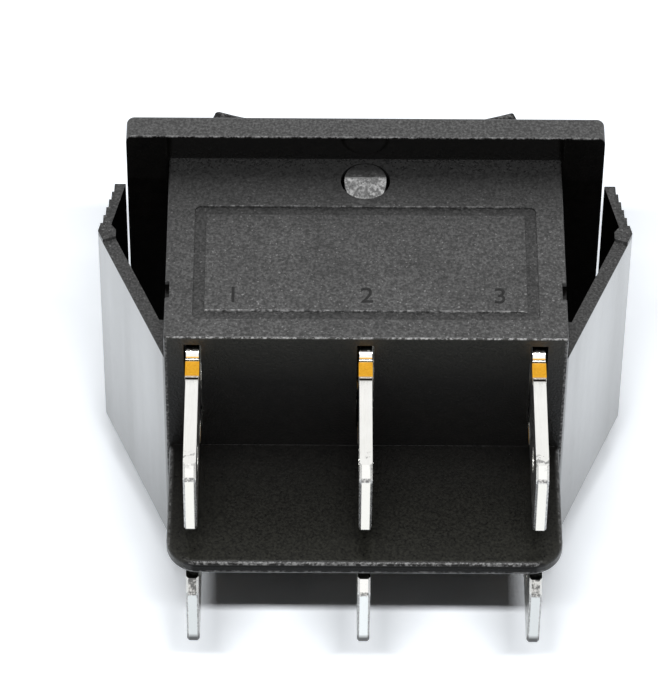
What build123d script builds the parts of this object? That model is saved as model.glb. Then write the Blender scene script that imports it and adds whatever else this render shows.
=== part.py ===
"""Panel rocker switch with six blade tabs: two poles, three positions, centre off. Millimetres.

X runs along the bezel's long side, Y points to the rocker and Z is up as the switch lies on its long side.
The origin is the middle of the bezel's back face, which seats on the panel.
"""
import os
from math import cos, radians, sin, sqrt, tan

from build123d import *

# Bezel, in front of the panel
bezel_length = 31.0
bezel_width = 25.4
bezel_thickness = 2.0
bezel_corner_radius = 0.5
bezel_edge_radius = 0.4

# Body, behind the panel
body_length = 25.43
body_width = 21.54
body_depth = 15.7
body_edge_radius = 0.15
body_corner_radius = 0.15
end_wall = 1.0
side_wall = 1.4
base_thickness = 1.6

# Frame groove on the marked wall
groove_end_margin = 1.765
groove_height = 9.8
groove_width = 0.75
groove_depth = 0.16
groove_below_bezel = 4.3
groove_corner_radius = 0.4

# Nicks in the marked wall's side edges
nick_length = 1.4
nick_from_base = 3.4
nick_across = 0.28
nick_down = 0.6

# Barrier between the two rows of tabs
barrier_length = 9.9
barrier_end_inset = 0.19
barrier_thickness = 1.1
barrier_corner_radius = 2.1
barrier_edge_radius = 0.35

# Snap wings at both ends
wing_spread = 34.5
wing_width = 17.85
wing_step_height = 0.275
wing_apex_depth = 4.8
wing_tip_spread = 32.6
wing_tip_gap = 0.6
wing_plate_thickness = 0.9
wing_head_thickness = 0.72
wing_step_drop = 0.8
wing_ledge_rise = 0.1
wing_neck_rise = 0.55
wing_root_inset = 0.2
wing_root_embed = 0.5
wing_pocket = 0.38
wing_tooth_count = 6
wing_tooth_depth = 0.14

# Pivot of the rocker
pivot_depth = 1.8
pivot_hole_radius = 1.6
trunnion_clearance = 0.25
trunnion_seat_gap = 0.05
trunnion_recess = 0.03
trunnion_ramp_angle = 35.0
trunnion_ramp_lead = 0.18
rocker_throw = 11.0

# Rocker
rocker_side_clearance = 0.3
rocker_end_clearance = 0.465
rocker_waist_taper = 0.35
rocker_top_taper = 1.55
rocker_top_height = 6.19
rocker_dish_radius = 28.0
rocker_skirt_depth = 2.0
rocker_skin = 1.3
rocker_wall = 1.2
rocker_edge_radius = 0.4
rocker_ear_margin = 1.3
rocker_ear_flare = 2.0

# Blade tabs
tab_end_inset = 1.8
tab_side_gap = 2.03
tab_width = 6.3
tab_thickness = 0.8
tab_reach = 9.4
tab_tip_chamfer_across = 0.84
tab_tip_chamfer_along = 0.73
tab_tip_corner_radius = 0.5
tab_tip_bevel = 0.14
tab_shoulder_radius = 0.55
tab_hole_radius = 0.85
tab_hole_from_tip = 3.9
stub_from_base = 0.15
stub_length = 1.35
stub_thickness = 0.88
stub_depth = 0.6
stub_height = 0.03

# Slots that the tabs pass through
slot_clearance = 0.15
slot_outer_clearance = 1.35

# Inner ends of the terminals
shelf_reach = 4.3
bend_radius = 0.3
foot_reach = 2.4
ear_margin = 0.5

# Contacts
fixed_contact_radius = 1.4
fixed_contact_height = 0.7
moving_contact_radius = 1.25
moving_contact_height = 0.7
contact_edge_radius = 0.2
contact_shank_radius = 0.6
peen_radius = 0.9
peen_height = 0.25
closed_clearance = 0.12

# Contact bars
bar_thickness = 0.6
bar_width = 4.3
bar_contact_inset = 2.12
bar_end_margin = 1.0
bar_vee_angle = 11.0
bar_throw_share = 0.45
bar_pip_radius = 0.3
bar_side_clearance = 0.2
pip_clearance = 0.1

# Plungers and springs in the rocker's bosses
boss_radius = 2.0
boss_depth = 7.5
bore_radius = 1.3
bore_height = 1.2
plunger_clearance = 0.15
plunger_top_depth = 4.0
plunger_tip_radius = 0.9
plunger_tip_gap = 0.2
spigot_radius = 0.5
spigot_length = 1.5
spring_radius = 0.9
spring_wire = 0.32
spring_turns = 6
spring_seat_gap = 0.02

# One overrun serves all cuts
overrun = 1.0

# Planes and levels that the pieces share
half_body = body_length / 2
half_width = body_width / 2
cavity_length = body_length - 2 * end_wall
cavity_width = body_width - 2 * side_wall
groove_length = body_length - 2 * groove_end_margin
barrier_width = body_length - 2 * barrier_end_inset
base_inside = -(body_depth - base_thickness)
tab_pitch = half_body - tab_end_inset
tab_row = half_width - tab_side_gap - tab_width / 2
shelf_top = base_inside + tab_thickness
tab_tip = -(body_depth + tab_reach)
pivot_y = -pivot_depth
pivot_hole_y = pivot_y - trunnion_clearance + trunnion_seat_gap
trunnion_radius = pivot_hole_radius - trunnion_clearance
trunnion_end = half_width - trunnion_recess
rocker_half_width = cavity_width / 2 - rocker_side_clearance
rocker_skirt_length = cavity_length - 2 * rocker_end_clearance
rocker_waist_length = rocker_skirt_length - 2 * rocker_waist_taper
rocker_top_length = rocker_skirt_length - 2 * rocker_top_taper
bar_contact_arm = tab_pitch - bar_contact_inset
bar_arm = bar_contact_arm + bar_end_margin
ear_inside = bar_width / 2 + bar_side_clearance
ear_outside = ear_inside + tab_thickness

# At full throw the pressed arm of a bar lies at the closed angle, and its contact almost closes
bar_throw = rocker_throw * bar_throw_share
vee_angle = radians(bar_vee_angle)
closed_angle = radians(bar_vee_angle - bar_throw)
contact_drop = bar_thickness / 2 + moving_contact_height
fixed_contact_top = shelf_top + fixed_contact_height
closed_rise = (bar_contact_arm - moving_contact_radius) * sin(closed_angle) - contact_drop * cos(closed_angle)
bar_pivot_y = fixed_contact_top + closed_clearance - closed_rise
fixed_contact_x = bar_contact_arm * cos(closed_angle) + contact_drop * sin(closed_angle)
bar_rise = bar_thickness / 2 / cos(vee_angle)
plunger_tip_y = bar_pivot_y + bar_rise + plunger_tip_gap

rows = {"upper": 1, "lower": -1}
sides = {"left": -1, "right": 1}

os.makedirs("parts", exist_ok=True)


def save(builder, name):
    """Label a finished piece and write it to its own file."""
    builder.part.label = name
    export_step(builder.part, f"parts/{name}.step")


def wing_outlines():
    """Corners of the right snap wing: its plate, and its head with saw teeth that grip the panel's edge."""
    root = (half_body, -(body_depth - wing_root_inset))
    apex = (wing_spread / 2, -wing_apex_depth)
    tip = (wing_tip_spread / 2, -wing_tip_gap)
    plate_slope = (apex[0] - root[0]) / (apex[1] - root[1])
    head_slope = (tip[0] - apex[0]) / (tip[1] - apex[1])
    plate_run = wing_plate_thickness * sqrt(1 + plate_slope**2)
    pocket_y = root[1] + (plate_run + wing_pocket) / plate_slope
    # The head stands on a step that runs square across the plate
    step_outer = (apex[0] - wing_step_drop * plate_slope, apex[1] - wing_step_drop)
    step_length = wing_plate_thickness / sqrt(1 + plate_slope**2)
    step_inner = (step_outer[0] - step_length, step_outer[1] + step_length * plate_slope)
    neck = (apex[0] + wing_neck_rise * head_slope - wing_head_thickness, apex[1] + wing_neck_rise)
    plate = [
        (root[0] - wing_root_embed, root[1]),
        root,
        step_outer,
        step_inner,
        (root[0] + wing_pocket, pocket_y),
        (root[0] - wing_root_embed, pocket_y),
    ]
    head = [step_outer, apex]
    tooth_pitch = (tip[1] - apex[1]) / wing_tooth_count
    for tooth in range(1, wing_tooth_count):
        crest_x = apex[0] + tooth * tooth_pitch * head_slope
        crest_y = apex[1] + tooth * tooth_pitch
        head += [(crest_x, crest_y), (crest_x - wing_tooth_depth, crest_y)]
    head += [
        tip,
        (tip[0] - wing_head_thickness, tip[1]),
        neck,
        (step_inner[0], apex[1] + wing_ledge_rise),
        step_inner,
    ]
    return plate, head


# Housing: bezel, body, barrier and snap wings in one moulding
with BuildPart() as housing:
    with BuildSketch(Plane.XZ):
        RectangleRounded(bezel_length, bezel_width, bezel_corner_radius)
    extrude(amount=-bezel_thickness)
    fillet(housing.faces().sort_by(Axis.Y)[-1].edges(), bezel_edge_radius)
    with BuildSketch(Plane.XZ):
        RectangleRounded(body_length, body_width, body_corner_radius)
    extrude(amount=body_depth)
    fillet(housing.faces().sort_by(Axis.Y)[0].edges(), body_edge_radius)
    # Barrier with round outer corners
    with BuildSketch(Plane.XY) as barrier_plan:
        with Locations((0, -body_depth - barrier_length / 2)):
            Rectangle(barrier_width, barrier_length)
        fillet(barrier_plan.vertices().group_by(Axis.Y)[0], barrier_corner_radius)
    extrude(amount=barrier_thickness / 2, both=True)
    barrier_edges = housing.edges().filter_by_position(
        Axis.Y, -body_depth - barrier_length - overrun, -body_depth - body_edge_radius
    )
    barrier_rims = barrier_edges.group_by(Axis.Z)
    fillet(barrier_rims[0] + barrier_rims[-1], barrier_edge_radius)
    # Room for the rocker and the contacts, open to the front
    with BuildSketch(Plane.XZ.offset(-bezel_thickness)):
        Rectangle(cavity_length, cavity_width)
    extrude(amount=bezel_thickness + body_depth - base_thickness, mode=Mode.SUBTRACT)
    # Bearings for the rocker's trunnions, through both long walls
    with BuildSketch(Plane.XY):
        with Locations((0, pivot_hole_y)):
            Circle(pivot_hole_radius)
    extrude(amount=half_width + overrun, both=True, mode=Mode.SUBTRACT)
    # Slots for the tabs, longer at their outer ends
    slot_length = slot_clearance + tab_width + slot_outer_clearance
    slot_centre = tab_row + (slot_outer_clearance - slot_clearance) / 2
    with BuildSketch(Plane.XZ.offset(body_depth)):
        with GridLocations(tab_pitch, 2 * slot_centre, 3, 2):
            Rectangle(tab_thickness + 2 * slot_clearance, slot_length)
    extrude(amount=-base_thickness, mode=Mode.SUBTRACT)
    # Frame groove on the marked wall
    with BuildSketch(Plane.XY.offset(half_width)):
        with Locations((0, -groove_below_bezel - groove_height / 2)):
            RectangleRounded(groove_length, groove_height, groove_corner_radius)
            Rectangle(groove_length - 2 * groove_width, groove_height - 2 * groove_width, mode=Mode.SUBTRACT)
    extrude(amount=-groove_depth, mode=Mode.SUBTRACT)
    # Nicks in the marked wall's side edges
    with BuildSketch(Plane.XY.offset(half_width)):
        with Locations((0, -body_depth + nick_from_base + nick_length / 2)):
            with GridLocations(body_length, 0, 2, 1):
                Rectangle(2 * nick_across, nick_length)
    extrude(amount=-nick_down, mode=Mode.SUBTRACT)
    # Snap wings, with heads that stand a step above their plates on the marked side
    for outline, width in zip(wing_outlines(), (wing_width - wing_step_height, wing_width)):
        with BuildSketch(Plane.XY.offset(-wing_width / 2)):
            with BuildLine():
                Polyline(outline, close=True)
            make_face()
            mirror(about=Plane.YZ)
        extrude(amount=width)
save(housing, "housing")

# Rocker: a dished shell with two trunnions and two bosses for the plungers
dish_centre = rocker_top_height + sqrt(rocker_dish_radius**2 - (rocker_top_length / 2) ** 2)
dish_floor = dish_centre - rocker_dish_radius
ear_bottom = pivot_y - trunnion_radius - rocker_ear_margin
ear_half = trunnion_radius + rocker_ear_margin
hollow_top_half = rocker_top_length / 2 - rocker_wall
hollow_skin_radius = rocker_dish_radius + rocker_skin
hollow_top = dish_centre - sqrt(hollow_skin_radius**2 - hollow_top_half**2)
with BuildPart() as rocker:
    with BuildSketch(Plane.XY):
        with BuildLine():
            ThreePointArc(
                (-rocker_top_length / 2, rocker_top_height),
                (0, dish_floor),
                (rocker_top_length / 2, rocker_top_height),
            )
            ThreePointArc(
                (rocker_top_length / 2, rocker_top_height),
                (rocker_waist_length / 2, bezel_thickness),
                (rocker_skirt_length / 2, -rocker_skirt_depth),
            )
            Polyline(
                (rocker_skirt_length / 2, -rocker_skirt_depth),
                (ear_half + rocker_ear_flare, -rocker_skirt_depth),
                (ear_half, ear_bottom),
                (-ear_half, ear_bottom),
                (-ear_half - rocker_ear_flare, -rocker_skirt_depth),
                (-rocker_skirt_length / 2, -rocker_skirt_depth),
            )
            ThreePointArc(
                (-rocker_skirt_length / 2, -rocker_skirt_depth),
                (-rocker_waist_length / 2, bezel_thickness),
                (-rocker_top_length / 2, rocker_top_height),
            )
        make_face()
    extrude(amount=rocker_half_width, both=True)
    rocker_tops = rocker.edges().filter_by_position(
        Axis.Y, dish_floor - rocker_edge_radius, rocker_top_height + rocker_edge_radius
    )
    fillet(rocker_tops, rocker_edge_radius)
    # Hollow under the skin, open at the back
    with BuildSketch(Plane.XY):
        with BuildLine():
            ThreePointArc(
                (-hollow_top_half, hollow_top),
                (0, dish_floor - rocker_skin),
                (hollow_top_half, hollow_top),
            )
            Polyline(
                (hollow_top_half, hollow_top),
                (rocker_skirt_length / 2 - rocker_wall, -rocker_skirt_depth),
                (rocker_skirt_length / 2 - rocker_wall, ear_bottom - overrun),
                (-rocker_skirt_length / 2 + rocker_wall, ear_bottom - overrun),
                (-rocker_skirt_length / 2 + rocker_wall, -rocker_skirt_depth),
                (-hollow_top_half, hollow_top),
            )
        make_face()
    extrude(amount=rocker_half_width - rocker_wall, both=True, mode=Mode.SUBTRACT)
    # Bosses under the dish, bored for the springs and plungers
    with BuildSketch(Plane.XZ.offset(-(dish_floor - rocker_skin / 2))):
        with GridLocations(0, 2 * tab_row, 1, 2):
            Circle(boss_radius)
    extrude(amount=dish_floor - rocker_skin / 2 + boss_depth)
    with BuildSketch(Plane.XZ.offset(-bore_height)):
        with GridLocations(0, 2 * tab_row, 1, 2):
            Circle(bore_radius)
    extrude(amount=bore_height + boss_depth, mode=Mode.SUBTRACT)
    # Trunnions, ramped at the back so that they snap into their bearings
    for row in rows.values():
        with BuildSketch(Plane.XY.offset(row * (rocker_half_width - rocker_wall))):
            with Locations((0, pivot_y)):
                Circle(trunnion_radius)
        extrude(amount=row * (trunnion_end - rocker_half_width + rocker_wall))
        ramp_start = pivot_y + trunnion_ramp_lead
        ramp_end = pivot_y - trunnion_radius - overrun
        ramp_drop = (ramp_start - ramp_end) * tan(radians(trunnion_ramp_angle))
        ramp_floor = max(trunnion_end - ramp_drop, rocker_half_width)
        with BuildSketch(Plane.YZ):
            with BuildLine():
                Polyline(
                    (ramp_start, row * trunnion_end),
                    (ramp_end, row * trunnion_end),
                    (ramp_end, row * ramp_floor),
                    (ramp_start - (trunnion_end - ramp_floor) / tan(radians(trunnion_ramp_angle)), row * ramp_floor),
                    close=True,
                )
            make_face()
        extrude(amount=trunnion_radius + overrun, both=True, mode=Mode.SUBTRACT)
save(rocker, "rocker")


def add_tab(builder, x, row):
    """Trim the blade's tip, punch its hole, and add its shoulder and the stubs of the strip that it was cut from."""
    blade_z = row * tab_row
    half_tab = tab_width / 2
    for edge in (1, -1):
        corner = blade_z + edge * half_tab
        with BuildSketch(Plane.YZ.offset(x)) as corner_cut:
            with BuildLine():
                Polyline(
                    (tab_tip, corner),
                    (tab_tip + tab_tip_chamfer_along, corner),
                    (tab_tip, corner - edge * tab_tip_chamfer_across),
                    close=True,
                )
            make_face()
        extrude(corner_cut.sketch, amount=tab_thickness, both=True, mode=Mode.SUBTRACT)
    fillet(builder.faces().sort_by(Axis.Y)[0].edges().filter_by(Axis.X), tab_tip_corner_radius)
    tip_edges = builder.edges().filter_by_position(Axis.Y, tab_tip, tab_tip + tab_tip_chamfer_along)
    chamfer([edge for edge in tip_edges if edge not in tip_edges.filter_by(Axis.X)], tab_tip_bevel)
    with BuildSketch(Plane.YZ.offset(x)) as hole:
        with Locations((tab_tip + tab_hole_from_tip, blade_z)):
            Circle(tab_hole_radius)
    extrude(hole.sketch, amount=tab_thickness, both=True, mode=Mode.SUBTRACT)
    # Round shoulder in the slot, on the edge that faces the long wall
    shoulder = blade_z + row * half_tab
    shoulder_end = shoulder + row * tab_shoulder_radius
    with BuildSketch(Plane.YZ.offset(x)) as shoulder_side:
        with BuildLine():
            RadiusArc(
                (-body_depth, shoulder),
                (-body_depth + tab_shoulder_radius, shoulder_end),
                row * tab_shoulder_radius,
            )
            Polyline(
                (-body_depth + tab_shoulder_radius, shoulder_end),
                (base_inside, shoulder_end),
                (base_inside, shoulder),
                (-body_depth, shoulder),
            )
        make_face()
    extrude(shoulder_side.sketch, amount=tab_thickness / 2, both=True)
    stub_y = -body_depth - stub_from_base - stub_length / 2
    stub_offset = half_tab + stub_height - stub_depth / 2
    with Locations((x, stub_y, blade_z - stub_offset), (x, stub_y, blade_z + stub_offset)):
        Box(stub_thickness, stub_length, stub_depth)


for row_name, row in rows.items():
    blade_z = row * tab_row
    # End terminals: a blade bent to a shelf that lies on the base and carries a fixed contact
    for side_name, side in sides.items():
        blade_x = side * tab_pitch
        with BuildPart() as end_terminal:
            outer_x = blade_x + side * tab_thickness / 2
            with BuildSketch(Plane.XY.offset(blade_z)) as strip:
                with BuildLine():
                    Polyline(
                        (outer_x, tab_tip),
                        (outer_x, shelf_top),
                        (outer_x - side * (tab_thickness + shelf_reach), shelf_top),
                        (outer_x - side * (tab_thickness + shelf_reach), base_inside),
                        (outer_x - side * tab_thickness, base_inside),
                        (outer_x - side * tab_thickness, tab_tip),
                        close=True,
                    )
                make_face()
                bend = strip.vertices().sort_by_distance((outer_x, shelf_top, blade_z))[0]
                fillet(bend, bend_radius)
            extrude(amount=tab_width / 2, both=True)
            add_tab(end_terminal, blade_x, row)
            with BuildSketch(Plane.XZ.offset(-shelf_top)):
                with Locations((side * fixed_contact_x, blade_z)):
                    Circle(contact_shank_radius)
            extrude(amount=tab_thickness, mode=Mode.SUBTRACT)
        save(end_terminal, f"terminal_{row_name}_{side_name}")

        with BuildPart() as fixed_contact:
            with BuildSketch(Plane.XZ.offset(-shelf_top)):
                with Locations((side * fixed_contact_x, blade_z)):
                    Circle(fixed_contact_radius)
            extrude(amount=-fixed_contact_height)
            fillet(fixed_contact.faces().sort_by(Axis.Y)[-1].edges(), contact_edge_radius)
            with BuildSketch(Plane.XZ.offset(-shelf_top)):
                with Locations((side * fixed_contact_x, blade_z)):
                    Circle(contact_shank_radius)
            extrude(amount=tab_thickness)
        save(fixed_contact, f"fixed_contact_{row_name}_{side_name}")

    # Common terminal: a blade with a foot on the base and two notched ears that cradle the bar
    notch_floor = bar_pivot_y - (bar_pip_radius + pip_clearance) * sqrt(2)
    ear_top = bar_pivot_y + bar_thickness / 2
    notch_half = ear_top - notch_floor
    with BuildPart() as common_terminal:
        with BuildSketch(Plane.XY.offset(blade_z)):
            with BuildLine():
                Polyline(
                    (-tab_thickness / 2, tab_tip),
                    (-tab_thickness / 2, shelf_top),
                    (foot_reach, shelf_top),
                    (foot_reach, base_inside),
                    (tab_thickness / 2, base_inside),
                    (tab_thickness / 2, tab_tip),
                    close=True,
                )
            make_face()
        extrude(amount=tab_width / 2, both=True)
        add_tab(common_terminal, 0, row)
        for edge in (1, -1):
            with BuildSketch(Plane.XY.offset(blade_z + edge * ear_inside)):
                with BuildLine():
                    Polyline(
                        (-tab_thickness / 2, base_inside),
                        (foot_reach, base_inside),
                        (foot_reach, shelf_top),
                        (notch_half + ear_margin, ear_top),
                        (notch_half, ear_top),
                        (0, notch_floor),
                        (-notch_half, ear_top),
                        (-notch_half - ear_margin, ear_top),
                        (-tab_thickness / 2, shelf_top),
                        close=True,
                    )
                make_face()
            extrude(amount=edge * tab_thickness)
    save(common_terminal, f"terminal_{row_name}_common")

    # Contact bar: a shallow vee with side pips in the cradle and a contact near each end
    arm_planes = {}
    for side_name, side in sides.items():
        arm_planes[side_name] = Plane(
            origin=(side * bar_contact_arm * cos(vee_angle), bar_pivot_y + bar_contact_arm * sin(vee_angle), blade_z),
            x_dir=(0, 0, 1),
            z_dir=(-side * sin(vee_angle), cos(vee_angle), 0),
        )
    arm_end_x = bar_arm * cos(vee_angle)
    arm_end_y = bar_pivot_y + bar_arm * sin(vee_angle)
    skin_x = bar_thickness / 2 * sin(vee_angle)
    skin_y = bar_thickness / 2 * cos(vee_angle)
    with BuildPart() as contact_bar:
        with BuildSketch(Plane.XY.offset(blade_z)):
            with BuildLine():
                Polyline(
                    (0, bar_pivot_y + bar_rise),
                    (arm_end_x - skin_x, arm_end_y + skin_y),
                    (arm_end_x + skin_x, arm_end_y - skin_y),
                    (0, bar_pivot_y - bar_rise),
                    (-arm_end_x - skin_x, arm_end_y - skin_y),
                    (-arm_end_x + skin_x, arm_end_y + skin_y),
                    close=True,
                )
            make_face()
        extrude(amount=bar_width / 2, both=True)
        with Locations((0, bar_pivot_y, blade_z)):
            Cylinder(bar_pip_radius, 2 * ear_outside)
        for plane in arm_planes.values():
            with BuildSketch(plane):
                Circle(contact_shank_radius)
            extrude(amount=bar_thickness, both=True, mode=Mode.SUBTRACT)
    save(contact_bar, f"contact_bar_{row_name}")

    for side_name, plane in arm_planes.items():
        with BuildPart() as moving_contact:
            with BuildSketch(plane.offset(-bar_thickness / 2)):
                Circle(moving_contact_radius)
            extrude(amount=-moving_contact_height)
            fillet(moving_contact.faces().sort_by(Axis.Y)[0].edges(), contact_edge_radius)
            with BuildSketch(plane.offset(-bar_thickness / 2)):
                Circle(contact_shank_radius)
            extrude(amount=bar_thickness)
            with BuildSketch(plane.offset(bar_thickness / 2)):
                Circle(peen_radius)
            extrude(amount=peen_height)
        save(moving_contact, f"moving_contact_{row_name}_{side_name}")

    # Plunger: a round pin with a ball tip that rides in the bar's vee, and a spigot inside the spring
    plunger_radius = bore_radius - plunger_clearance
    plunger_top = -plunger_top_depth
    tip_centre = plunger_tip_y + plunger_tip_radius
    shoulder_y = tip_centre + plunger_radius
    with BuildPart() as plunger:
        with BuildSketch(Plane.XY.offset(blade_z)):
            with BuildLine():
                Polyline(
                    (plunger_tip_radius, tip_centre),
                    (plunger_radius, shoulder_y),
                    (plunger_radius, plunger_top),
                    (spigot_radius, plunger_top),
                    (spigot_radius, plunger_top + spigot_length),
                    (0, plunger_top + spigot_length),
                    (0, plunger_tip_y),
                )
                RadiusArc((0, plunger_tip_y), (plunger_tip_radius, tip_centre), -plunger_tip_radius)
            make_face()
        revolve(axis=Axis((0, 0, blade_z), (0, 1, 0)))
    save(plunger, f"plunger_{row_name}")

    # Coil spring between the plunger and the end of its bore
    spring_bottom = plunger_top + spring_wire / 2 + spring_seat_gap
    spring_height = bore_height - spring_wire / 2 - spring_seat_gap - spring_bottom
    with BuildPart() as spring:
        with BuildLine() as coil:
            Helix(
                spring_height / spring_turns,
                spring_height,
                spring_radius,
                center=(0, spring_bottom, blade_z),
                direction=(0, 1, 0),
            )
        with BuildSketch(Plane(origin=coil.line @ 0, z_dir=coil.line % 0)):
            Circle(spring_wire / 2)
        sweep()
    save(spring, f"spring_{row_name}")
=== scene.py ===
"""Looks of the panel rocker switch: finishes, springs, moulded digits, table, lamps, room and camera.

Metres, in the part's own frame: X along the bezel, Y to the rocker, Z up from the table.
"""
from math import cos, radians, sin

import bmesh
import bpy
from mathutils import Matrix, Vector


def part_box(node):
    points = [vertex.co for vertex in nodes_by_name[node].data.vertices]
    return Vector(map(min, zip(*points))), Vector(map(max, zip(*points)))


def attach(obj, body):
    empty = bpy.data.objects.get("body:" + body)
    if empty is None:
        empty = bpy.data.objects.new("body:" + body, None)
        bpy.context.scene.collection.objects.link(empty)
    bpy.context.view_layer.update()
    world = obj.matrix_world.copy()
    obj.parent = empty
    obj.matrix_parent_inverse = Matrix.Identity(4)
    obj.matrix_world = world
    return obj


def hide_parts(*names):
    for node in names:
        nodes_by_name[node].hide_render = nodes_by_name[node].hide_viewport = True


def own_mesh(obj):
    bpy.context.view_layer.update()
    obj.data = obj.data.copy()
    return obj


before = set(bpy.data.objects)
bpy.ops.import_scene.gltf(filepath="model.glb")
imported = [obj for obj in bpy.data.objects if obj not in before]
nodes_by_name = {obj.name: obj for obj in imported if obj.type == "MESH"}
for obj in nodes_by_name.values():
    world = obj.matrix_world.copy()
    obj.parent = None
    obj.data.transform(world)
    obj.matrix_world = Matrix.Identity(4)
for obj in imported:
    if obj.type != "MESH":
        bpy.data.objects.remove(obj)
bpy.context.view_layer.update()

mm = 0.001

# Camera, as fitted to the photograph's edges
image_long_side = 680
sensor_side = 36.0
focal_pixels = 4650.7
camera_target = Vector((-2.3, -10.0, 4.28)) * mm
camera_distance = 300.0 * mm
camera_elevation = radians(48.01)
camera_yaw = radians(-0.236)
camera_roll = radians(0.493)
camera_near_clip = 10.0 * mm

# Table that the bezel's lower edge and the body's lower rear edge rest on
table_size = 1.2
table_near = 60.0 * mm
table_far = 160.0 * mm
table_colour = (0.36, 0.37, 0.38, 1.0)
table_mirrored = (1.18, 1.23, 1.28, 1.0)
table_seen = (1.28, 1.33, 1.39, 1.0)

# Room and lamps: each lamp's elevation in degrees, length, width and power in watts
room_light = 0.02
room_colour = (1.0, 1.0, 1.0, 1.0)
ceiling_level = 0.08
ceiling_start = 0.75
ceiling_full = 0.9
lamp_distance = 0.5
lamps = {
    "lamp_front": (58.4, 0.4, 0.02, 2.45),
    "lamp_top": (90, 0.2, 0.2, 0.75),
}


def grey(level, tint=0.0):
    """A grey colour, a little warm where tint is above zero."""
    return (level * (1 + tint), level, level * (1 - tint), 1.0)


# Levels of the pieces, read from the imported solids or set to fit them
housing_low, housing_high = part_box("housing")
rocker_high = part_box("rocker")[1]
tab_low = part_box("terminal_upper_common")[0]
tab_span = 6.36 * mm
tab_reach = 9.4 * mm
tab_tip_inset = 1.05 * mm
tab_half_pitch = 4.0 * mm
trunnion_recess = 0.03 * mm
wall_to_rocker = 1.7 * mm
bezel_half = housing_high.z
barrier_end = housing_low.y
tab_tip = tab_low.y
tab_inner_edge = tab_low.z
tab_edge = tab_inner_edge + tab_span
wall_half = rocker_high.z + trunnion_recess
rocker_half_width = wall_half - wall_to_rocker
body_rear = tab_tip + tab_reach
body_half_length = 12.715 * mm
wing_half = 8.65 * mm
wing_head_half = 8.925 * mm
wing_step = -4.9 * mm
groove_top = -4.3 * mm
groove_foot = -13.35 * mm
groove_half_length = 10.2 * mm

# Springs and digits
weld_distance = 0.0001 * mm
digit_height = 1.27 * mm
digit_proud = 0.04 * mm
digit_sunk = 0.02 * mm
digit_depth = -12.65 * mm
digit_places = {"1": -8.4 * mm, "2": 0.07 * mm, "3": 8.48 * mm}

# Places where the housing's finish changes, and where its painted sheen, painted glints, dust and painted
# light start and stop
mask_edge = 0.05 * mm
face_reach = 0.05 * mm
wall_slack = 0.1 * mm
wall_band = 0.3 * mm
wall_front = -0.02 * mm
bezel_start = 0.06 * mm
pocket_gap = 0.2 * mm
wing_rim = 0.04 * mm
wing_dull_reach = 5.0 * mm
wing_dull_low = -9.0 * mm
wing_dull_high = 4.0 * mm
groove_floor = 0.1 * mm
groove_lip = 0.04 * mm
barrier_reach = 0.7 * mm
barrier_face_reach = 0.06 * mm
barrier_face_half = 0.3 * mm
# The barrier is painted paler towards its end, painted light where it comes out of the body's shade; the base
# is paler towards the long walls
barrier_light_full = 0.3 * mm
barrier_light_start = 0.25 * mm
base_pale_start = 6.5 * mm
base_pale_full = 10.5 * mm
# The painted sheen haze fades into painted shade beside the bezel
sheen_haze_start = -0.3 * mm
sheen_haze_full = -7.5 * mm
sheen_haze_rear_reach = 6.0 * mm
matt_full = -5.0 * mm
painted_glint_fade = 0.5 * mm

# Strips along the housing's edges: worn pale, except on the wall's rear edge and the barrier's top edge,
# where they are painted highlights, and along the barrier's foot, a painted reflection
bezel_edge_strip = 0.06 * mm
bezel_edge_behind = -0.05 * mm
bezel_edge_front = 0.14 * mm
wall_edge_strip = 0.09 * mm
end_edge_strip = 0.2 * mm
rear_edge_strip = 0.1 * mm
groove_edge_strip = 0.12 * mm
groove_foot_strip = 0.06 * mm
groove_top_strip = 0.05 * mm
groove_top_shift = 0.04 * mm
barrier_edge_strip = 0.2 * mm
barrier_edge_level = 0.36 * mm
barrier_foot_strip = 0.25 * mm
barrier_foot_level = -0.14 * mm
barrier_side_strip = 0.42 * mm
barrier_side_gap = 0.4 * mm
barrier_side_level = 0.34 * mm

# Marks on the rocker: a painted highlight on the trunnions' ramps, and wear with a painted highlight on the
# top corners and the rim
trunnion_ramp = 0.08 * mm
trunnion_highlight_full = -1.6 * mm
trunnion_highlight_end = -0.9 * mm
corner_strip = 0.08 * mm
rim_start = 0.9 * mm
rim_full = 0.4 * mm
rim_width = 0.25 * mm

# Marks and painted shade on the tabs
tip_face = 0.02 * mm
tip_edge_end = 0.16 * mm
tip_edge_soft = (0.03 * mm, 0.06 * mm)
shoulder_start = 0.7 * mm
shoulder_end = 1.6 * mm
shoulder_soft = 0.5 * mm
low_end_rise = 0.35 * mm
low_end_rise_soft = 0.4 * mm
low_end_strip = 0.3 * mm
low_end_strip_soft = 0.2 * mm
tarnish_start = 0.15 * mm
tarnish_start_soft = 0.15 * mm
tarnish_end = 1.1 * mm
tarnish_end_soft = 0.3 * mm
tab_edge_strip = 0.55 * mm
cut_start = 0.2 * mm
cut_end = 1.45 * mm
cut_soft = (0.12 * mm, 0.06 * mm)
crease_shade_spans = ((1.72 * mm, 1.52 * mm), (0.2 * mm, 0.04 * mm))
crease_shade_soft = (0.06 * mm, 0.06 * mm)
broad_facing = 0.7

# Shares of full wear and painted highlight, painted sheen haze, painted glints, dust and painted light, shade
# and shine
wall_rear_highlight = 0.85
bezel_back_wear = 0.5
end_wear = 0.5
groove_top_wear = 0.4
barrier_edge_highlight = 0.5
barrier_foot_reflection = 0.45
barrier_side_wear = 0.25
rocker_corner_wear_and_highlight = 0.3
rocker_rim_wear_and_highlight = 0.4
bezel_sheen_haze = 0.85
wall_front_sheen_haze = 0.85
groove_sheen_haze = 0.55
wing_edge_sheen_haze = 0.5
trunnion_highlight_haze = 0.45
bezel_painted_glints = 0.3
base_pale_share = 0.5
barrier_dust_and_light = 0.62
barrier_matt = 0.6
wall_front_matt = 0.45
barrier_face_dull = 0.7
wing_rear_gloss = 0.8
wing_foot_gloss = 0.65
low_outer_shade = 0.2

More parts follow.
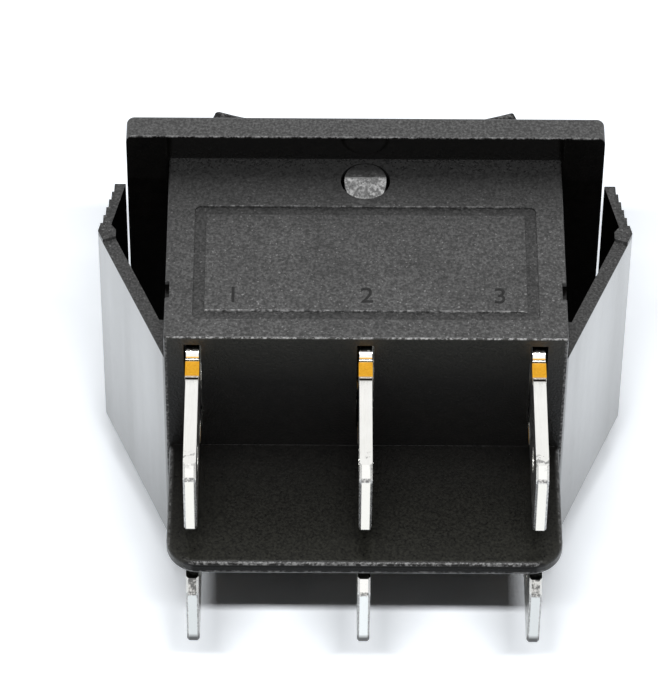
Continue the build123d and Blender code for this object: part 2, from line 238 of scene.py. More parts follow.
# Grain of the surfaces: cells per metre, detail and roughness
smudge_grain = (280.0, 4.0, 0.6)
mould_streak_grain = (380.0, 3.0, 0.6)
cloud_grain = (900.0, 3.0, 0.5)
worked_cloud_grain = (1500.0, 3.0, 0.5)
soft_grain = (1500.0, 4.0, 0.6)
scrape_highlight_grain = (2000.0, 3.0, 0.6)
nick_grain = (2600.0, 3.0, 0.6)
scuff_and_highlight_grain = (3500.0, 2.0, 0.7)
painted_glint_grain = (5200.0, 1.0, 0.5)
pit_grain = (6000.0, 3.0, 0.6)
mark_grain = (6000.0, 3.0, 0.5)
plunger_grain = (6000.0, 2.0, 0.5)
worked_grain = (8000.0, 2.0, 0.5)
tin_streak_grain = (9000.0, 3.0, 0.5)
tin_grain = (9000.0, 2.0, 0.5)
mould_streak_stretch = (1.0, 1.0, 0.06)
tin_streak_stretch = (1.0, 0.12, 1.0)

# Patches in a noise or a slant: its span, and the mask at both ends of that
smudge_patches = (0.35, 0.65, 0.75, 1.0)
mould_streaks = (0.35, 0.65, 0.8, 1.0)
scrape_highlight_patches = (0.3, 0.62, 0.35, 1.0)
painted_glint_patches = (0.67, 0.73, 0.0, 0.7)
scuff_and_highlight_patches = (0.45, 0.65, 0.0, 1.0)
tip_shade_patches = (0.35, 0.6, 0.3, 1.0)
nick_patches = (0.55, 0.62, 0.0, 0.8)
tarnish_patches = (0.42, 0.56, 0.15, 0.9)
wing_slant = (0.25, 0.7, 0.25, 1.0)

# Middle of a noise, and halves of its span around that
noise_middle = 0.5
narrow = 0.15
medium = 0.2
wide = 0.25

# Roughness, least and most
texture_roughness = (0.36, 0.5)
smooth_roughness = (0.12, 0.18)
satin_roughness = (0.17, 0.23)
tin_edge_roughness = (0.1, 0.18)
tin_broad_roughness = (0.2, 0.34)
cut_roughness = (0.45, 0.6)
mark_roughness = (0.45, 0.6)
plunger_roughness = (0.3, 0.42)
worked_roughness = (0.25, 0.4)
wire_roughness = (0.22, 0.34)

# Shine, and relief as a strength and a depth
plastic_shine = 0.25
dull_shine = 0.02
mark_shine = 0.3
wing_coat_roughness = 0.18
wing_coat_ior = 2.4
cut_metallic = 0.4
smooth_relief = 0.02
plastic_relief = (0.8, 0.05 * mm)
mark_relief = (0.4, 0.02 * mm)
worked_relief = (0.3, 0.01 * mm)
tin_relief = (0.08, 0.008 * mm)

# Colours
clean_dark = grey(0.006)
clean_light = grey(0.018)
# Grey haze of the textured walls: a painted sheen that stands for the sheen of their rough surface
sheen_haze_dark = grey(0.044)
sheen_haze_middle = grey(0.083)
sheen_haze_light = grey(0.144)
# Colour of the painted glints
painted_glint_colour = grey(0.35)
# Pale scuffs of worn edges, also used for painted highlights and a painted reflection
scuff_and_highlight_colour = grey(0.4)
smooth_dark = grey(0.0012, 0.05)
smooth_light = grey(0.003, 0.12)
# Brownish dust, also used as painted light on the barrier's end and as a painted highlight on the trunnions'
# ramps
dark_dust_and_light = (0.009, 0.009, 0.0075, 1.0)
pale_dust_and_light = (0.038, 0.038, 0.031, 1.0)
tin_dull = (0.96, 0.955, 0.92, 1.0)
tin_bright = (1.0, 0.995, 0.965, 1.0)
# A darker copy of the tin for the broad faces: painted shade
shaded_broad_tin_dull = (0.56, 0.555, 0.54, 1.0)
shaded_broad_tin_bright = (0.7, 0.695, 0.67, 1.0)
# Darker copies of the tin on the tips' end faces, cool for the lower row and warm for the upper: painted
# shade
low_tip_shaded_tin = (0.705, 0.72, 0.71, 1.0)
high_tip_shaded_tin = (0.735, 0.71, 0.655, 1.0)
# Grey for nicks, also painted as shade along the tips' edges
nick_and_shade_colour = grey(0.22)
shaded_tin = grey(0.05)
# Grey for tarnish, also painted as shade at the lower row's low ends
tarnish_and_shade_colour = grey(0.1)
# Dark warm grey painted as shade in the creases
crease_shade_colour = grey(0.03, 0.3)
cut_dark = (0.78, 0.34, 0.012, 1.0)
cut_light = (0.95, 0.52, 0.03, 1.0)
plunger_dark = (0.72, 0.7, 0.64, 1.0)
plunger_light = (0.8, 0.79, 0.75, 1.0)
silver_dark = (0.6, 0.58, 0.54, 1.0)
silver_light = (0.86, 0.84, 0.8, 1.0)
brass_dark = (0.62, 0.36, 0.12, 1.0)
brass_light = (0.8, 0.52, 0.2, 1.0)
steel_dark = (0.32, 0.32, 0.33, 1.0)
steel_light = (0.55, 0.55, 0.56, 1.0)


# Shader nodes


def add_math(tree, operation, first, second=None):
    """Add a Math node; sockets are linked and numbers are set on it."""
    node = tree.nodes.new("ShaderNodeMath")
    node.operation = operation
    for slot, value in zip(node.inputs, (first, second)):
        if value is None:
            continue
        if isinstance(value, bpy.types.NodeSocket):
            tree.links.new(value, slot)
        else:
            slot.default_value = value
    return node.outputs["Value"]


def add_noise(tree, vector, grain):
    """Add a noise texture with the given grain on the given coordinates."""
    node = tree.nodes.new("ShaderNodeTexNoise")
    for name, number in zip(("Scale", "Detail", "Roughness"), grain):
        node.inputs[name].default_value = number
    tree.links.new(vector, node.inputs["Vector"])
    return node.outputs["Fac"]


def add_stretch(tree, place, scale):
    """Coordinates scaled along each axis, so that noise on them is drawn out where the scale is small."""
    node = tree.nodes.new("ShaderNodeMapping")
    node.inputs["Scale"].default_value = scale
    tree.links.new(place, node.inputs["Vector"])
    return node.outputs["Vector"]


def add_range(tree, value, low, high, to_low, to_high, smooth=False):
    """Add a Map Range node from low..high to to_low..to_high, clamped."""
    node = tree.nodes.new("ShaderNodeMapRange")
    node.interpolation_type = "SMOOTHSTEP" if smooth else "LINEAR"
    numbers = {"From Min": low, "From Max": high, "To Min": to_low, "To Max": to_high}
    for name, number in numbers.items():
        node.inputs[name].default_value = number
    tree.links.new(value, node.inputs["Value"])
    return node.outputs["Result"]


def add_spread(tree, noise, low, high):
    """A number between low and high, by a noise."""
    return add_range(tree, noise, noise_middle - medium, noise_middle + medium, low, high)


def add_shades(tree, noise, half, *colours):
    """A colour from a ramp through the colours, by the middle of a noise."""
    node = tree.nodes.new("ShaderNodeValToRGB")
    ramp = node.color_ramp
    while len(ramp.elements) < len(colours):
        ramp.elements.new(1.0)
    step = 2 * half / (len(colours) - 1)
    for index, colour in enumerate(colours):
        ramp.elements[index].position = noise_middle - half + index * step
        ramp.elements[index].color = colour
    tree.links.new(noise, node.inputs["Fac"])
    return node.outputs["Color"]


def add_mix(tree, factor, first, second):
    """Mix two colours, each a socket or a colour."""
    node = tree.nodes.new("ShaderNodeMix")
    node.data_type = "RGBA"
    tree.links.new(factor, node.inputs["Factor"])
    for slot, value in ((node.inputs[6], first), (node.inputs[7], second)):
        if isinstance(value, bpy.types.NodeSocket):
            tree.links.new(value, slot)
        else:
            slot.default_value = value
    return node.outputs[2]


def add_blend(tree, factor, first, second):
    """Blend two values by a mask."""
    node = tree.nodes.new("ShaderNodeMix")
    for slot, socket in (("Factor", factor), ("A", first), ("B", second)):
        tree.links.new(socket, node.inputs[slot])
    return node.outputs["Result"]


def add_bump(tree, height, strength, depth):
    """Add a bump node for a height in 0..1 that stands for a depth in metres."""
    node = tree.nodes.new("ShaderNodeBump")
    node.inputs["Strength"].default_value = strength
    node.inputs["Distance"].default_value = depth
    tree.links.new(height, node.inputs["Height"])
    return node.outputs["Normal"]


def add_split(tree, vector):
    """The X, Y and Z of a vector."""
    node = tree.nodes.new("ShaderNodeSeparateXYZ")
    tree.links.new(vector, node.inputs["Vector"])
    return node.outputs["X"], node.outputs["Y"], node.outputs["Z"]


def new_finish(name):
    """Start a material and return it with its tree, its shader and its object coordinates."""
    material = bpy.data.materials.new(name)
    material.use_nodes = True
    tree = material.node_tree
    shader = tree.nodes["Principled BSDF"]
    place = tree.nodes.new("ShaderNodeTexCoord").outputs["Object"]
    return material, tree, shader, place


# Masks, from 0 to 1


def add_above(tree, value, level, soft=mask_edge):
    """A mask that rises from 0 to 1 as the value passes the level."""
    return add_range(tree, value, level - soft / 2, level + soft / 2, 0.0, 1.0)


def add_below(tree, value, level, soft=mask_edge):
    """A mask that falls from 1 to 0 as the value passes the level."""
    return add_range(tree, value, level - soft / 2, level + soft / 2, 1.0, 0.0)


def add_between(tree, value, low, high, soft_low=mask_edge, soft_high=mask_edge):
    """A mask that is 1 where the value lies between two levels."""
    return add_both(tree, add_above(tree, value, low, soft_low), add_below(tree, value, high, soft_high))


def add_near(tree, value, level, reach):
    """A mask that is 1 where the value lies within the reach of the level."""
    return add_between(tree, value, level - reach, level + reach)


def add_both(tree, *masks):
    """A mask that is 1 where all the given masks are."""
    product = masks[0]
    for mask in masks[1:]:
        product = add_math(tree, "MULTIPLY", product, mask)
    return product


def add_either(tree, *masks):
    """A mask that is 1 where any of the given masks is."""
    most = masks[0]
    for mask in masks[1:]:
        most = add_math(tree, "MAXIMUM", most, mask)
    return most


def add_share(tree, mask, share):
    """A mask at a share of its strength."""
    return add_math(tree, "MULTIPLY", mask, share)


def add_not(tree, mask):
    """A mask that is 1 where the given mask is 0."""
    return add_range(tree, mask, 0.0, 1.0, 1.0, 0.0)


def add_patches(tree, place, grain, patches):
    """A patchy mask, made from a noise with the given grain."""
    return add_range(tree, add_noise(tree, place, grain), *patches)


def add_places(tree, place):
    """A point's distance from the middle along X, place along Y, distance along Z and place along Z."""
    x, depth, height = add_split(tree, place)
    return add_math(tree, "ABSOLUTE", x), depth, add_math(tree, "ABSOLUTE", height), height


def add_facing(tree):
    """How far a face looks along X, from -1 to 1."""
    return add_split(tree, tree.nodes.new("ShaderNodeNewGeometry").outputs["Normal"])[0]


def add_outward(tree, place):
    """A mask that is 1 on faces that look away from the middle along X."""
    x = add_split(tree, place)[0]
    return add_math(tree, "GREATER_THAN", add_both(tree, add_facing(tree), x), 0.0)


def add_sheen_haze_and_bezel_shade(tree, depth):
    """The share of painted sheen haze on the long walls: faded out beside the bezel as painted shade of the
    bezel, full from some way behind it, and a little stronger towards the rear edge.
    """
    clear_of_bezel_shade = add_range(tree, depth, sheen_haze_full, sheen_haze_start, 1.0, 0.0, smooth=True)
    faded = add_range(tree, depth, body_rear, body_rear + sheen_haze_rear_reach, 1.0, wall_front_sheen_haze)
    return add_both(tree, clear_of_bezel_shade, faded)


def add_matt(tree, depth):
    """How matt the long walls are: smoother beside the bezel, and fully matt from some way behind it."""
    return add_range(tree, depth, matt_full, 0.0, 1.0, wall_front_matt)


# Finishes


def add_black_plastic(tree, shader, place, textured, matt, sheen_hazed, satin, dusty_and_lit, worn_and_highlit):
    """Black plastic: spark-textured or smooth, with matt and satin places, a grey painted sheen haze with
    painted glints, dust with painted light, and pale wear with painted highlights, each under a mask.
    """
    pits = add_noise(tree, place, pit_grain)
    soft = add_noise(tree, place, soft_grain)
    depth = add_split(tree, place)[1]

    clean_colour = add_shades(tree, pits, narrow, clean_dark, clean_light)
    # A grey painted sheen haze, with painted glints in it
    sheen_haze_colour = add_shades(tree, pits, narrow, sheen_haze_dark, sheen_haze_middle, sheen_haze_light)
    # Painted glints: pale points standing for the glints of the spark texture, fewer on the bezel
    painted_glints = add_both(
        tree,
        add_patches(tree, place, painted_glint_grain, painted_glint_patches),
        add_range(tree, depth, -painted_glint_fade, painted_glint_fade, 1.0, bezel_painted_glints),
    )
    sheen_haze_colour = add_mix(tree, painted_glints, sheen_haze_colour, painted_glint_colour)
    rough_colour = add_mix(tree, sheen_hazed, clean_colour, sheen_haze_colour)
    smooth_colour = add_shades(tree, soft, medium, smooth_dark, smooth_light)
    # Dust colour, also used for painted light and a painted highlight
    dust_and_light_colour = add_shades(tree, pits, narrow, dark_dust_and_light, pale_dust_and_light)
    colour = add_mix(tree, textured, add_mix(tree, dusty_and_lit, smooth_colour, dust_and_light_colour), rough_colour)
    # Pale scuffs on worn edges; on some edges of the housing and the rocker the same pale is a painted
    # highlight
    scuff_and_highlight_mask = add_patches(tree, place, scuff_and_highlight_grain, scuff_and_highlight_patches)
    colour = add_mix(tree, add_both(tree, worn_and_highlit, scuff_and_highlight_mask), colour, scuff_and_highlight_colour)
    tree.links.new(colour, shader.inputs["Base Color"])

    texture_rough = add_spread(tree, pits, *texture_roughness)
    smooth_rough = add_spread(tree, soft, *smooth_roughness)
    satin_rough = add_spread(tree, soft, *satin_roughness)
    polish = add_blend(tree, satin, smooth_rough, satin_rough)
    tree.links.new(add_blend(tree, matt, polish, texture_rough), shader.inputs["Roughness"])

    relief = add_both(tree, pits, add_range(tree, matt, 0.0, 1.0, smooth_relief, 1.0))
    tree.links.new(add_bump(tree, relief, *plastic_relief), shader.inputs["Normal"])
    shader.inputs["Specular IOR Level"].default_value = plastic_shine


def add_worn_and_highlit_edges(tree, along, depth, level, height):
    """The housing's edges, scuffed pale as far as they are handled; along the wall's rear edge and the
    barrier's top edge the pale strip is a painted highlight, and along the barrier's foot a painted
    reflection.
    """
    at_rear = add_below(tree, depth, body_rear + rear_edge_strip)
    bezel_back_edge = add_both(
        tree,
        add_above(tree, level, bezel_half - bezel_edge_strip),
        add_between(tree, depth, bezel_edge_behind, bezel_edge_front),
    )
    # The wall's rear edge: a pale strip painted as the highlight its rounded edge catches
    wall_rear_edge = add_both(tree, add_above(tree, level, wall_half - wall_edge_strip), at_rear)
    end_edge = add_both(tree, add_above(tree, along, body_half_length - end_edge_strip), at_rear)
    groove_rear = add_near(tree, depth, groove_foot, groove_foot_strip)
    groove_front = add_near(tree, depth, groove_top + groove_top_shift, groove_top_strip)
    groove_edge = add_both(
        tree,
        add_either(tree, groove_rear, add_share(tree, groove_front, groove_top_wear)),
        add_below(tree, along, groove_half_length),
        add_above(tree, level, wall_half - groove_edge_strip),
    )
    # The barrier's top edge: a pale strip painted as its highlight
    barrier_edge = add_both(
        tree,
        add_below(tree, depth, barrier_end + barrier_edge_strip),
        add_above(tree, level, barrier_edge_level),
    )
    # The barrier's foot: a pale strip painted as the reflection its rounded edge shows
    barrier_foot = add_both(
        tree,
        add_below(tree, depth, barrier_end + barrier_foot_strip),
        add_below(tree, height, barrier_foot_level),
    )
    barrier_side = add_both(
        tree,
        add_above(tree, along, body_half_length - barrier_side_strip),
        add_below(tree, depth, body_rear - barrier_side_gap),
        add_above(tree, height, barrier_side_level),
    )
    return add_either(
        tree,
        groove_edge,
        add_share(tree, wall_rear_edge, wall_rear_highlight),
        add_share(tree, bezel_back_edge, bezel_back_wear),
        add_share(tree, end_edge, end_wear),
        add_share(tree, barrier_edge, barrier_edge_highlight),
        add_share(tree, barrier_foot, barrier_foot_reflection),
        add_share(tree, barrier_side, barrier_side_wear),
    )


def add_wing_gloss(tree, shader, place, wing_face):
    """Satin gloss on the wings' outer faces, streaked from the mould and strongest at a slant."""
    _, depth, _, height = add_places(tree, place)
    drawn_out = add_stretch(tree, place, mould_streak_stretch)
    streak = add_patches(tree, drawn_out, mould_streak_grain, mould_streaks)
    dulled_rear = add_range(tree, depth, body_rear, body_rear + wing_dull_reach, wing_rear_gloss, 1.0)
    dulled_foot = add_range(tree, height, wing_dull_low, wing_dull_high, wing_foot_gloss, 1.0)
    slant = tree.nodes.new("ShaderNodeLayerWeight").outputs["Facing"]
    slanted = add_range(tree, slant, *wing_slant)
    outward = add_outward(tree, place)
    gloss = add_both(tree, wing_face, outward, streak, dulled_rear, dulled_foot, slanted)
    tree.links.new(gloss, shader.inputs["Coat Weight"])
    shader.inputs["Coat Roughness"].default_value = wing_coat_roughness
    shader.inputs["Coat IOR"].default_value = wing_coat_ior


def moulded_black():
    """Housing: spark-textured long walls and bezel with a painted sheen haze and painted glints, the haze
    fading into painted shade beside the bezel; smoother base and barrier, the barrier paler towards its end
    as painted light; satin wings; scuffed edges, some of them painted highlights and a painted reflection.
    """
    material, tree, shader, place = new_finish("moulded_black")
    along, depth, level, height = add_places(tree, place)

    on_bezel = add_above(tree, depth, bezel_start)
    before_bezel = add_below(tree, depth, wall_front)
    bezel_back = add_both(
        tree,
        add_near(tree, depth, 0.0, face_reach),
        add_above(tree, along, body_half_length + pocket_gap),
    )
    on_wall = add_both(
        tree,
        add_between(tree, level, wall_half - wall_band, wall_half + wall_slack),
        add_above(tree, depth, body_rear + wall_slack),
        before_bezel,
    )
    wings = add_both(tree, add_above(tree, along, body_half_length + wall_slack), before_bezel)
    wing_head_face = add_both(
        tree,
        add_above(tree, depth, wing_step),
        add_below(tree, height, wing_head_half - wing_rim),
    )
    wing_face = add_either(tree, wing_head_face, add_below(tree, height, wing_half - wing_rim))
    wing_edge = add_both(tree, wings, add_not(tree, wing_face))
    base_face = add_near(tree, depth, body_rear, face_reach)
    barrier = add_both(
        tree,
        add_below(tree, level, barrier_reach),
        add_below(tree, depth, body_rear + face_reach),
    )
    barrier_face = add_both(
        tree,
        add_below(tree, depth, barrier_end + barrier_face_reach),
        add_below(tree, level, barrier_face_half),
    )

    textured = add_either(tree, on_bezel, on_wall, wing_edge)
    matt = add_either(
        tree,
        on_bezel,
        add_both(tree, on_wall, add_matt(tree, depth)),
        base_face,
        add_share(tree, barrier, barrier_matt),
        bezel_back,
    )
    above_groove = add_range(tree, level, wall_half - groove_floor, wall_half - groove_lip, groove_sheen_haze, 1.0)
    smudges = add_patches(tree, place, smudge_grain, smudge_patches)
    # The painted sheen haze of the walls, bezel and wing edges, faded into painted shade beside the bezel
    sheen_hazed = add_either(
        tree,
        add_share(tree, on_bezel, bezel_sheen_haze),
        add_both(tree, add_sheen_haze_and_bezel_shade(tree, depth), above_groove, smudges),
        add_share(tree, wing_edge, wing_edge_sheen_haze),
    )
    # The base paler towards the long walls
    pale_base_edges = add_both(
        tree,
        base_face,
        add_range(tree, level, base_pale_start, base_pale_full, 0.0, base_pale_share),
    )
    # The barrier paler towards its end: painted light where it comes out of the body's shade
    barrier_dust_and_light_mask = add_both(
        tree,
        barrier,
        add_range(tree, depth, barrier_end + barrier_light_full, body_rear, barrier_dust_and_light, 0.0),
        add_above(tree, depth, barrier_end + barrier_light_start),
    )
    dusty_and_lit = add_either(tree, pale_base_edges, barrier_dust_and_light_mask)
    worn_and_highlit = add_worn_and_highlit_edges(tree, along, depth, level, height)
    add_black_plastic(tree, shader, place, textured, matt, sheen_hazed, wings, dusty_and_lit, worn_and_highlit)

    dull = add_either(tree, bezel_back, add_share(tree, barrier_face, barrier_face_dull))
    shine = add_range(tree, dull, 0.0, 1.0, plastic_shine, dull_shine)
    tree.links.new(shine, shader.inputs["Specular IOR Level"])
    add_wing_gloss(tree, shader, place, add_both(tree, wings, wing_face))
    return material


def gloss_black():
    """Rocker: smooth black plastic, with trunnions textured like the walls around them; the trunnions' ramps
    carry a painted highlight, and the top corners and the rim are worn pale with a painted highlight.
    """
    material, tree, shader, place = new_finish("gloss_black")
    _, depth, level, _ = add_places(tree, place)
    top = rocker_high.y
    trunnion = add_above(tree, level, rocker_half_width + wall_slack)
    satin = add_below(tree, level, rocker_half_width + wall_slack)
    matt = add_both(tree, trunnion, add_matt(tree, depth))
    ramp = add_both(tree, trunnion, add_below(tree, level, wall_half - trunnion_ramp))
    # Scraped patches, dust colour and extra haze on the trunnions' ramps are a painted highlight; the top
    # corners and the rim are worn pale with a painted highlight
    scraped_highlight = add_patches(tree, place, scrape_highlight_grain, scrape_highlight_patches)
    corner = add_both(tree, add_range(tree, depth, top - corner_strip, top, 0.0, rocker_corner_wear_and_highlight), satin)
    rim = add_both(
        tree,
        add_range(tree, depth, top - rim_start, top - rim_full, 0.0, rocker_rim_wear_and_highlight),
        add_above(tree, level, rocker_half_width - rim_width),
        satin,
    )
    worn_and_highlit = add_either(tree, add_both(tree, ramp, scraped_highlight), corner, rim)
    ramp_highlight = add_range(tree, depth, trunnion_highlight_full, trunnion_highlight_end, trunnion_highlight_haze, 0.0)
    sheen_hazed = add_either(tree, add_sheen_haze_and_bezel_shade(tree, depth), add_both(tree, trunnion, ramp_highlight))
    add_black_plastic(tree, shader, place, trunnion, matt, sheen_hazed, satin, ramp, worn_and_highlit)
    return material


def add_tin_marks(tree, place, tin, broad, fine):
    """The tin plate's colour with nicked shoulders and tarnish on the lower outer tabs, and painted shade:
    darker copies of the tin on the tips' end faces, grey along the tips' edges and at the lower row's low
    ends, and a faint shade on the lower outer tabs.
    """
    along, depth, _, height = add_places(tree, place)
    nicks = add_noise(tree, place, nick_grain)
    on_tip = add_below(tree, depth, tab_tip + tip_face, tip_face)
    # Grey along the tips' edges: painted shade, the dark floor that the rounded edges mirror
    tip_edge_shade = add_both(
        tree,
        add_between(tree, depth, tab_tip + tip_face, tab_tip + tip_edge_end, *tip_edge_soft),
        add_range(tree, fine, *tip_shade_patches),
    )
    shoulder = add_both(
        tree,
        add_above(tree, depth, tab_tip + shoulder_start, shoulder_soft),
        add_below(tree, depth, tab_tip + shoulder_end, shoulder_soft),
        add_range(tree, nicks, *nick_patches),
    )
    # The lower row's low ends grey: painted shade on their rounded bottoms
    low_end_shade = add_both(
        tree,
        add_below(tree, height, tab_tip_inset + low_end_rise - tab_edge, low_end_rise_soft),
        add_below(tree, depth, tab_tip + low_end_strip, low_end_strip_soft),
    )
    low_outer = add_both(
        tree,
        add_below(tree, height, 0.0),
        add_above(tree, along, tab_half_pitch),
        add_below(tree, depth, tab_tip + tarnish_end, tarnish_end_soft),
        add_not(tree, broad),
    )
    tarnish = add_both(
        tree,
        low_outer,
        add_above(tree, depth, tab_tip + tarnish_start, tarnish_start_soft),
        add_range(tree, nicks, *tarnish_patches),
    )
    # Darker copies of the tin on the tips' end faces, a cool one for the lower row in the barrier's shade and
    # a warm one for the upper row: painted shade
    shaded_tip_tin = add_mix(tree, add_above(tree, height, 0.0), low_tip_shaded_tin, high_tip_shaded_tin)
    tin = add_mix(tree, on_tip, tin, shaded_tip_tin)
    tin = add_mix(tree, add_either(tree, tip_edge_shade, shoulder), tin, nick_and_shade_colour)
    tin = add_mix(tree, low_end_shade, tin, tarnish_and_shade_colour)
    tin = add_mix(tree, add_share(tree, low_outer, low_outer_shade), tin, shaded_tin)
    return add_mix(tree, tarnish, tin, tarnish_and_shade_colour)


def tinned_brass():
    """Terminals: bright tin plate with drawn streaks, and bare brass where the strip was cut off; a darker
    copy of the tin on the broad faces and thin dark lines across the edges near the base are painted shade.
    """
    material, tree, shader, place = new_finish("tinned_brass")
    _, depth, level, _ = add_places(tree, place)
    streak = add_noise(tree, add_stretch(tree, place, tin_streak_stretch), tin_streak_grain)
    cloud = add_noise(tree, place, cloud_grain)
    fine = add_noise(tree, place, tin_grain)

    edges = add_either(
        tree,
        add_above(tree, level, tab_edge - tab_edge_strip),
        add_below(tree, level, tab_inner_edge + tab_edge_strip),
    )
    band = add_between(tree, depth, body_rear - cut_end, body_rear - cut_start, *cut_soft)
    bare = add_both(tree, band, edges)
    # Thin dark lines across the edges where the tabs leave the base and beyond the bare brass: painted shade
    crease_shade_masks = [
        add_between(tree, depth, body_rear - far, body_rear - near, *crease_shade_soft)
        for far, near in crease_shade_spans
    ]
    crease_shade = add_both(tree, add_either(tree, *crease_shade_masks), edges)
    broad = add_math(tree, "GREATER_THAN", add_math(tree, "ABSOLUTE", add_facing(tree)), broad_facing)

    tin = add_shades(tree, cloud, wide, tin_dull, tin_bright)
    # The broad faces take a darker copy of the tin: painted shade
    shaded_broad_tin = add_shades(tree, cloud, wide, shaded_broad_tin_dull, shaded_broad_tin_bright)
    tin = add_tin_marks(tree, place, add_mix(tree, broad, tin, shaded_broad_tin), broad, fine)
    tin = add_mix(tree, crease_shade, tin, crease_shade_colour)
    brass = add_shades(tree, fine, medium, cut_dark, cut_light)
    tree.links.new(add_mix(tree, bare, tin, brass), shader.inputs["Base Color"])

    edge_rough = add_spread(tree, streak, *tin_edge_roughness)
    broad_rough = add_spread(tree, streak, *tin_broad_roughness)
    brass_rough = add_spread(tree, fine, *cut_roughness)
    tin_rough = add_blend(tree, broad, edge_rough, broad_rough)
    tree.links.new(add_blend(tree, bare, tin_rough, brass_rough), shader.inputs["Roughness"])
    tree.links.new(add_range(tree, bare, 0.0, 1.0, 1.0, cut_metallic), shader.inputs["Metallic"])
    tree.links.new(add_bump(tree, streak, *tin_relief), shader.inputs["Normal"])
    return material


def worked_metal(name, dark, light, roughness):
    """Contacts, bars and springs: metal with a worked surface between two colours."""
    material, tree, shader, place = new_finish(name)
    cloud = add_noise(tree, place, worked_cloud_grain)
    fine = add_noise(tree, place, worked_grain)
    tree.links.new(add_shades(tree, cloud, medium, dark, light), shader.inputs["Base Color"])
    tree.links.new(add_spread(tree, fine, *roughness), shader.inputs["Roughness"])
    tree.links.new(add_bump(tree, fine, *worked_relief), shader.inputs["Normal"])
    shader.inputs["Metallic"].default_value = 1.0
    return material


def pale_plastic():
    """Plungers: undyed slippery plastic, a little cloudy."""
    material, tree, shader, place = new_finish("pale_plastic")
    cloud = add_noise(tree, place, cloud_grain)
    fine = add_noise(tree, place, plunger_grain)
    colour = add_shades(tree, cloud, medium, plunger_dark, plunger_light)
    rough = add_spread(tree, fine, *plunger_roughness)
    tree.links.new(colour, shader.inputs["Base Color"])
    tree.links.new(rough, shader.inputs["Roughness"])
    return material


def raised_mark():
    """Digits: the housing's plastic, duller and darker than the wall around them; the darker colour is
    painted shade, standing for the shade of moulded marks.
    """
    material, tree, shader, place = new_finish("raised_mark")
    fine = add_noise(tree, place, mark_grain)
    colour = add_shades(tree, fine, medium, clean_dark, clean_light)
    rough = add_spread(tree, fine, *mark_roughness)
    tree.links.new(colour, shader.inputs["Base Color"])
    tree.links.new(rough, shader.inputs["Roughness"])
    tree.links.new(add_bump(tree, fine, *mark_relief), shader.inputs["Normal"])
    shader.inputs["Specular IOR Level"].default_value = mark_shine
    return material


def contact_silver():
    """Contact rivets: silver, a little tarnished."""
    return worked_metal("contact_silver", silver_dark, silver_light, worked_roughness)


def bar_brass():
    """Contact bars: bare brass."""
    return worked_metal("bar_brass", brass_dark, brass_light, worked_roughness)


def spring_wire():
    """Springs: drawn steel wire."""
    return worked_metal("spring_wire", steel_dark, steel_light, wire_roughness)


contact_finish = contact_silver()
spring_finish = spring_wire()
mark_finish = raised_mark()
finish_by_first_word = {
    "housing": moulded_black(),
    "rocker": gloss_black(),
    "plunger": pale_plastic(),
    "terminal": tinned_brass(),
    "fixed": contact_finish,
    "moving": contact_finish,
    "contact": bar_brass(),
    "spring": spring_finish,
}
for name, node in nodes_by_name.items():
    node.data.materials.clear()
    node.data.materials.append(finish_by_first_word[name.split("_")[0]])


# Springs and digits


def put_in_scene(name, data):
    """Add an object with this data to the scene."""
    thing = bpy.data.objects.new(name, data)
    bpy.context.scene.collection.objects.link(thing)
    return thing


def wind_spring(row):
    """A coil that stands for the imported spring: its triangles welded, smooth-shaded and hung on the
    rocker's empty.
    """
    packed = nodes_by_name[f"spring_{row}"].data
    coil = bpy.data.meshes.new(f"coil_{row}")
    coil.from_pydata([v.co for v in packed.vertices], [], [list(p.vertices) for p in packed.polygons])
    wire = bmesh.new()
    wire.from_mesh(coil)
    bmesh.ops.remove_doubles(wire, verts=wire.verts, dist=weld_distance)
    for face in wire.faces:
        face.smooth = True
    wire.to_mesh(coil)
    wire.free()
    coil.materials.append(spring_finish)
    spring = put_in_scene(f"coil_{row}", coil)
    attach(spring, "rocker")
    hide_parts(f"spring_{row}")
    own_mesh(spring)


def mould_digit(text, x):
    """A raised digit on the marked wall, beside a terminal."""
    letter = bpy.data.curves.new(f"digit_{text}", "FONT")
    letter.body = text
    letter.size = 1.0
    letter.align_x = "CENTER"
    letter.extrude = 0.5
    lettering = put_in_scene(f"digit_{text}_text", letter)
    bpy.context.view_layer.update()
    solid = bpy.data.meshes.new_from_object(lettering)
    bpy.data.objects.remove(lettering)
    scale = digit_height / max(v.co.y for v in solid.vertices)
    thick = digit_proud + digit_sunk
    middle = wall_half + (digit_proud - digit_sunk) / 2
    size = Matrix.Diagonal((scale, scale, thick, 1.0))
    solid.transform(Matrix.Translation((x, digit_depth, middle)) @ size)
    solid.materials.clear()
    solid.materials.append(mark_finish)
    digit = put_in_scene(f"digit_{text}", solid)
    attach(digit, "base")


for row in ("upper", "lower"):
    wind_spring(row)
for text, x in digit_places.items():
    mould_digit(text, x)


# Table, lamps, room and camera


def add_view_rays(tree):
    """Two masks: rays that see a thing straight or through glass, and rays that see it mirrored."""
    path = tree.nodes.new("ShaderNodeLightPath")
    seen = add_math(tree, "MAXIMUM", path.outputs["Is Camera Ray"], path.outputs["Is Transmission Ray"])
    direct = add_math(tree, "LESS_THAN", path.outputs["Diffuse Depth"], 0.5)
    return seen, add_both(tree, path.outputs["Is Glossy Ray"], direct)


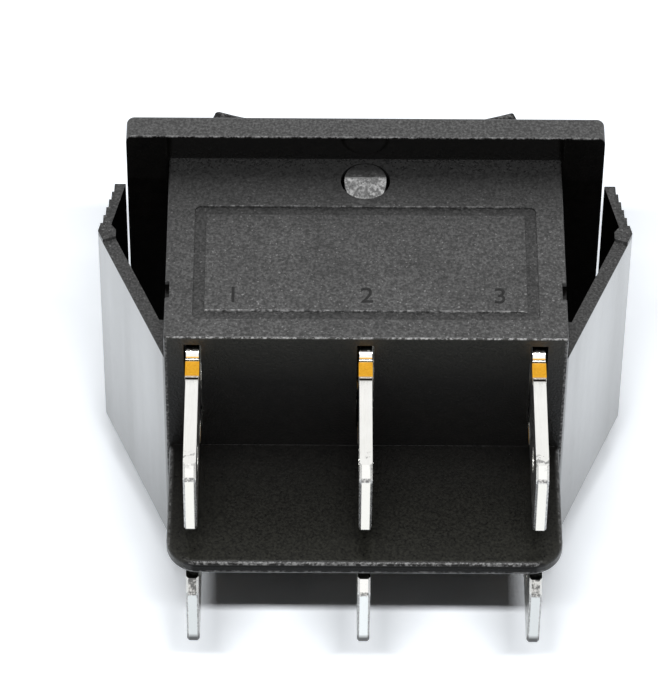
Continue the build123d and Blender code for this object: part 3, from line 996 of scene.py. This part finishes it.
def pale_table():
    """A pale matt table that keeps shadows, brighter where it is seen; clear from below and far away."""
    material = bpy.data.materials.new("pale_table")
    material.use_nodes = True
    tree = material.node_tree
    tree.nodes.clear()
    seen, mirrored = add_view_rays(tree)
    colour = add_mix(tree, seen, add_mix(tree, mirrored, table_colour, table_mirrored), table_seen)
    matt = tree.nodes.new("ShaderNodeBsdfDiffuse")
    tree.links.new(colour, matt.inputs["Color"])
    reach = tree.nodes.new("ShaderNodeVectorMath")
    reach.operation = "LENGTH"
    tree.links.new(tree.nodes.new("ShaderNodeTexCoord").outputs["Object"], reach.inputs[0])
    far = add_range(tree, reach.outputs["Value"], table_near, table_far, 0.0, 1.0, smooth=True)
    below = tree.nodes.new("ShaderNodeNewGeometry").outputs["Backfacing"]
    clear = tree.nodes.new("ShaderNodeBsdfTransparent")
    side = tree.nodes.new("ShaderNodeMixShader")
    tree.links.new(add_either(tree, below, far), side.inputs["Fac"])
    tree.links.new(matt.outputs["BSDF"], side.inputs[1])
    tree.links.new(clear.outputs["BSDF"], side.inputs[2])
    output = tree.nodes.new("ShaderNodeOutputMaterial")
    tree.links.new(side.outputs["Shader"], output.inputs["Surface"])
    return material


def lay_table():
    """A flat sheet through the two lower edges that the switch rests on."""
    slope = (bezel_half - wall_half) / -body_rear
    sheet = bmesh.new()
    bmesh.ops.create_grid(sheet, x_segments=1, y_segments=1, size=table_size / 2)
    tilt = Matrix.Translation((0, 0, -bezel_half)) @ Matrix.Shear("XY", 4, (0, -slope))
    bmesh.ops.transform(sheet, matrix=tilt, verts=sheet.verts)
    mesh = bpy.data.meshes.new("table")
    sheet.to_mesh(mesh)
    sheet.free()
    mesh.materials.append(pale_table())
    table = put_in_scene("table", mesh)


def hang_lamp(name, elevation, length, width, power):
    """A soft panel lamp on the camera's side, at an elevation in degrees, that faces the switch."""
    panel = bpy.data.lights.new(name, "AREA")
    panel.shape = "RECTANGLE"
    panel.size = length
    panel.size_y = width
    panel.energy = power
    away = Vector((0.0, -cos(radians(elevation)), sin(radians(elevation))))
    turn = away.to_track_quat("Z", "Y").to_matrix().to_4x4()
    lamp = put_in_scene(name, panel)
    lamp.matrix_world = Matrix.Translation(camera_target + away * lamp_distance) @ turn


def light_room():
    """A pale room: white where it is seen, with a dimmer ceiling where it is mirrored, faint as a light."""
    world = bpy.data.worlds.new("room")
    world.use_nodes = True
    tree = world.node_tree
    back = tree.nodes["Background"]
    back.inputs["Color"].default_value = room_colour
    seen, mirrored = add_view_rays(tree)
    upward = add_split(tree, tree.nodes.new("ShaderNodeTexCoord").outputs["Generated"])[2]
    walls = add_range(tree, upward, ceiling_start, ceiling_full, 1.0, ceiling_level)
    strength = add_either(tree, seen, add_both(tree, mirrored, walls), room_light)
    tree.links.new(strength, back.inputs["Strength"])
    bpy.context.scene.world = world


def set_camera():
    """The photograph's view."""
    flat = cos(camera_elevation)
    back = Vector((sin(camera_yaw) * flat, -cos(camera_yaw) * flat, sin(camera_elevation)))
    right = Vector((0, 0, 1)).cross(back).normalized()
    up = back.cross(right)
    cosine, sine = cos(camera_roll), sin(camera_roll)
    right, up = cosine * right + sine * up, cosine * up - sine * right
    turn = Matrix((right, up, back)).transposed().to_4x4()
    lens = bpy.data.cameras.new("photo_view")
    lens.sensor_width = sensor_side
    lens.lens = focal_pixels * sensor_side / image_long_side
    lens.clip_start = camera_near_clip
    camera = put_in_scene("photo_view", lens)
    camera.matrix_world = Matrix.Translation(camera_target + back * camera_distance) @ turn
    bpy.context.scene.camera = camera


lay_table()
for name, (elevation, length, width, power) in lamps.items():
    hang_lamp(name, elevation, length, width, power)
light_room()
set_camera()
bpy.context.scene.view_settings.view_transform = "Standard"
